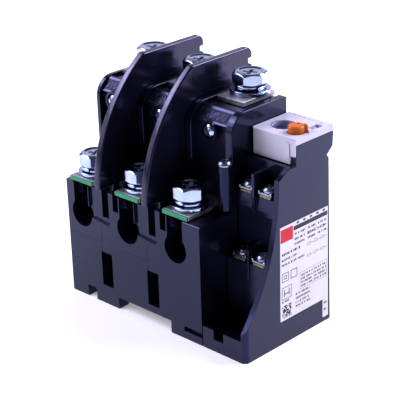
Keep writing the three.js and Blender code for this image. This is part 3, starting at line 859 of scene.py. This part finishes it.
def cover_marks(name, ink, marks):
    """Flat printed marks on top of the cover, each (x, y, length, width, turn in degrees)."""
    bm = bmesh.new()
    for x, y, length, width, turn in marks:
        a, b = length / 2, width / 2
        corners = [(-a, -b), (a, -b), (a, b), (-a, b)]
        mark = skin(bmesh.new(), [[(px, py, z) for px, py in corners] for z in (0.002, 0.014)])
        mark.transform(Matrix.Rotation(math.radians(turn), 4, "Z"))
        origin = at(x, y, 0)
        mark.transform(Matrix.Translation((origin.x, origin.y, COVER_TOP * MM)))
        merge(bm, mark)
    add_extra(name, "front_cover", bm, ink)


ticks = []
for degrees in TICK_ANGLES:
    angle = math.radians(degrees)
    x, y = DIAL_AT[0] + TICK_RADIUS * math.cos(angle), DIAL_AT[1] + TICK_RADIUS * math.sin(angle)
    ticks.append((x, y, TICK_LENGTH, TICK_WIDTH, degrees))
cover_marks("dial_ticks", "ink_dark", ticks)
cover_marks("cover_red_marks", "ink_red", [(x, 55.2, 1.5, 0.4, 0) for x in (89.5, 92.0, 94.5)])
grey_marks = [(x, 54.6, 0.9, 0.35, 0) for x in (98.0, 99.6, 101.2)]
grey_marks += [(104.4, 53.6, 1.6, 0.35, 0), (104.4, 54.5, 1.6, 0.35, 0)]
cover_marks("cover_grey_marks", "ink_grey", grey_marks)


# ---- inner parts ----

for i in (1, 2, 3):
    moulding(f"heater_{i}", "heater", 0.1)
    moulding(f"bimetal_{i}", "bimetal", 0.1)
moulding("trip_slider", "slider", 0.2)
moulding("trip_lever", "slider", 0.2)
moulding("contact_arm", "brass", 0.12)


# ---- label print ----

# How thick the print is.
INK = 0.012


def printed(name, ink, patches):
    """Thin printed patches on the label, each (front, back, low, high) in millimetres."""
    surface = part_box("rating_label")[1].x / MM + 0.001
    start = at(0, 0, 0) / MM
    bm = bmesh.new()
    for front, back, low, high in patches:
        y0, y1, z0, z1 = start.y + front, start.y + back, start.z + low, start.z + high
        corners = [(y0, z0), (y1, z0), (y1, z1), (y0, z1)]
        skin(bm, [[(x, y, z) for y, z in corners] for x in (surface, surface + INK)])
    add_extra(name, "rating_label", bm, ink)


def text_row(front, back, z, height, gap=0.45):
    """A row of short strokes that stands for a line of small print and can't be read."""
    strokes = []
    y = front
    while y < back:
        width = random.uniform(0.35, 0.9)
        lift = random.choice((0, 0, 0.15)) * height
        strokes.append((y, min(y + width, back), z + lift, z + height))
        y += width + random.choice((gap * 0.6, gap * 0.6, gap * 2))
    return strokes


def frame_lines(front, back, low, high, line=0.16):
    """The four thin sides of a printed box."""
    return [
        (front, back, low, low + line),
        (front, back, high - line, high),
        (front, front + line, low + line, high - line),
        (back - line, back, low + line, high - line),
    ]


printed("label_red_block", "ink_red", [(22.7, 30.6, 47.6, 53.6)])
bars = [(31.0, 53.2, 50.9, 52.9)]
bars += [(y, y + 1.6, 53.4, 54.3) for y in (33.0, 37.2, 41.5, 45.8, 50.0)]
printed("label_dark_bars", "ink_dark", bars)

# The rows of small print, each (front, back, low, height).
heading_columns = ((31.6, 38.5), (40.2, 45.2), (47.0, 52.6))
table_columns = ((36.0, 43.6), (44.8, 52.8))
small_print = [(*column, z, 1.0) for z in (48.6, 46.3, 44.0) for column in heading_columns]
small_print += [(23.4, 36.0, 41.4, 1.2), (23.4, 33.0, 39.0, 1.0), (23.4, 38.0, 36.7, 1.0)]
small_print += [(23.4, 28.6, 19.4, 1.0)]
small_print += [(*column, z, 0.9) for z in (27.9, 26.2, 24.5, 22.8) for column in table_columns]
small_print += [(32.4, 41.8, z, 0.9) for z in (20.2, 18.2, 16.2, 14.4)]
small_print += [(51.4, 53.6, z, 1.2) for z in (8.4, 5.2)]
printed("label_rows", "ink_dark", [stroke for row in small_print for stroke in text_row(*row)])

# The table, the row of small linked boxes, and the larger marks below them.
grid = frame_lines(35.2, 53.0, 21.9, 30.0)
grid += [(y, y + 0.12, 21.9, 30.0) for y in (38.0, 44.2, 48.6)]
for z in (35.6, 41.0, 46.2):
    for y in (40.0, 44.4, 48.8):
        grid += frame_lines(y, y + 2.2, z, z + 1.3, 0.22)
        grid.append((y + 2.2, y + 4.2, z + 0.5, z + 0.72))
grid += frame_lines(23.4, 27.8, 29.2, 33.4, 0.4)
grid += frame_lines(24.6, 26.6, 30.4, 32.2, 0.4)
grid += frame_lines(29.0, 33.4, 29.2, 33.4, 0.5)
grid += frame_lines(23.4, 29.6, 20.9, 26.8, 0.35)
grid += [(24.6, 28.4, 23.2, 23.8), (24.6, 25.2, 22.2, 25.6), (27.8, 28.4, 22.2, 25.6)]
printed("label_boxes", "ink_grey", grid)

# The square patch of random cells: its corner, how many cells each way, and their size.
PATCH_FRONT, PATCH_LOW, CELLS, CELL = 23.4, 12.0, 11, 0.55
cells = []
for row in range(CELLS):
    for column in range(CELLS):
        if random.random() < 0.5:
            y, z = PATCH_FRONT + column * CELL, PATCH_LOW + row * CELL
            cells.append((y, y + CELL, z, z + CELL))
printed("label_cells", "ink_dark", cells)


# ---- anything still as packed ----

for node, shown in NODES.items():
    if not shown.hide_render:
        shown.data.materials.clear()
        shown.data.materials.append(MATERIALS[SLOT_OF[node]])


# ---- floor, light and camera ----

FLOOR_SIZE = 6.0
FLOOR_GLOW = 0.3
WORLD_GLOW = 0.09

# Where the camera stands, its angles in degrees, and its lens.
CAMERA_AT = (0.38865, -0.39332, 0.28739)
CAMERA_YAW, CAMERA_DOWN, CAMERA_ROLL = 44.634, 23.249, -1.795
LENS = 122.19


def add_camera():
    """Looks along its yaw (anticlockwise from +Y) and down, turned by its roll."""
    yaw, down, roll = (math.radians(a) for a in (CAMERA_YAW, CAMERA_DOWN, CAMERA_ROLL))
    ahead = Vector((-math.sin(yaw) * math.cos(down), math.cos(yaw) * math.cos(down), -math.sin(down)))
    level = Vector((math.cos(yaw), math.sin(yaw), 0))
    upright = level.cross(ahead)
    right = level * math.cos(roll) + upright * math.sin(roll)
    up = upright * math.cos(roll) - level * math.sin(roll)
    data = bpy.data.cameras.new("camera")
    data.lens = LENS
    data.clip_start = 0.01
    data.clip_end = 20
    camera = bpy.data.objects.new("camera", data)
    axes = Matrix((right, up, -ahead)).transposed().to_4x4()
    camera.matrix_world = Matrix.Translation(CAMERA_AT) @ axes
    bpy.context.scene.collection.objects.link(camera)
    bpy.context.scene.camera = camera


def add_floor():
    """A pale floor that glows a little, just under the object."""
    bm = bmesh.new()
    bmesh.ops.create_grid(bm, x_segments=1, y_segments=1, size=FLOOR_SIZE / 2)
    floor = bpy.data.objects.new("floor", to_mesh("floor", bm))
    floor.location.z = -0.05 * MM
    made = Finish("studio_floor", (0.93, 0.93, 0.95), 0.6)
    made.shader.inputs["Emission Color"].default_value = (1, 1, 1, 1)
    made.shader.inputs["Emission Strength"].default_value = FLOOR_GLOW
    floor.data.materials.append(made.material)
    bpy.context.scene.collection.objects.link(floor)


def add_softbox(name, direction, distance, size, power, color=(1, 1, 1)):
    """A rectangular area light that faces the middle of the object from a direction."""
    middle = (cad_box[0] + cad_box[1]) / 2
    way = Vector(direction).normalized()
    data = bpy.data.lights.new(name, "AREA")
    data.shape = "RECTANGLE"
    data.size, data.size_y = size
    data.energy = power
    data.color = color
    light = bpy.data.objects.new(name, data)
    light.location = middle + way * distance
    light.rotation_euler = way.to_track_quat("Z", "Y").to_euler()
    bpy.context.scene.collection.objects.link(light)


def add_world():
    world = bpy.data.worlds.new("studio")
    world.use_nodes = True
    background = world.node_tree.nodes["Background"]
    background.inputs["Color"].default_value = (0.95, 0.95, 1.0, 1)
    background.inputs["Strength"].default_value = WORLD_GLOW
    bpy.context.scene.world = world


add_camera()
add_floor()
add_world()
add_softbox("key_high_left", (-0.645, -0.40, 0.65), 0.9, (0.8, 0.5), 9, (0.80, 0.77, 1.0))
add_softbox("key_glint", (-0.65, -0.34, 0.68), 0.9, (0.3, 0.18), 1.4, (0.84, 0.78, 1.0))
add_softbox("fill_front_left", (-0.645, -0.70, 0.22), 0.9, (0.7, 0.25), 1.1, (0.90, 0.86, 1.0))
add_softbox("rim_rear_right", (0.394, 0.654, 0.645), 1.0, (0.7, 0.5), 19, (0.84, 0.80, 1.0))
add_softbox("rear_left", (-0.645, 0.654, 0.395), 1.1, (1.2, 0.6), 2, (0.86, 0.80, 1.0))
bpy.context.scene.view_settings.view_transform = "Standard"
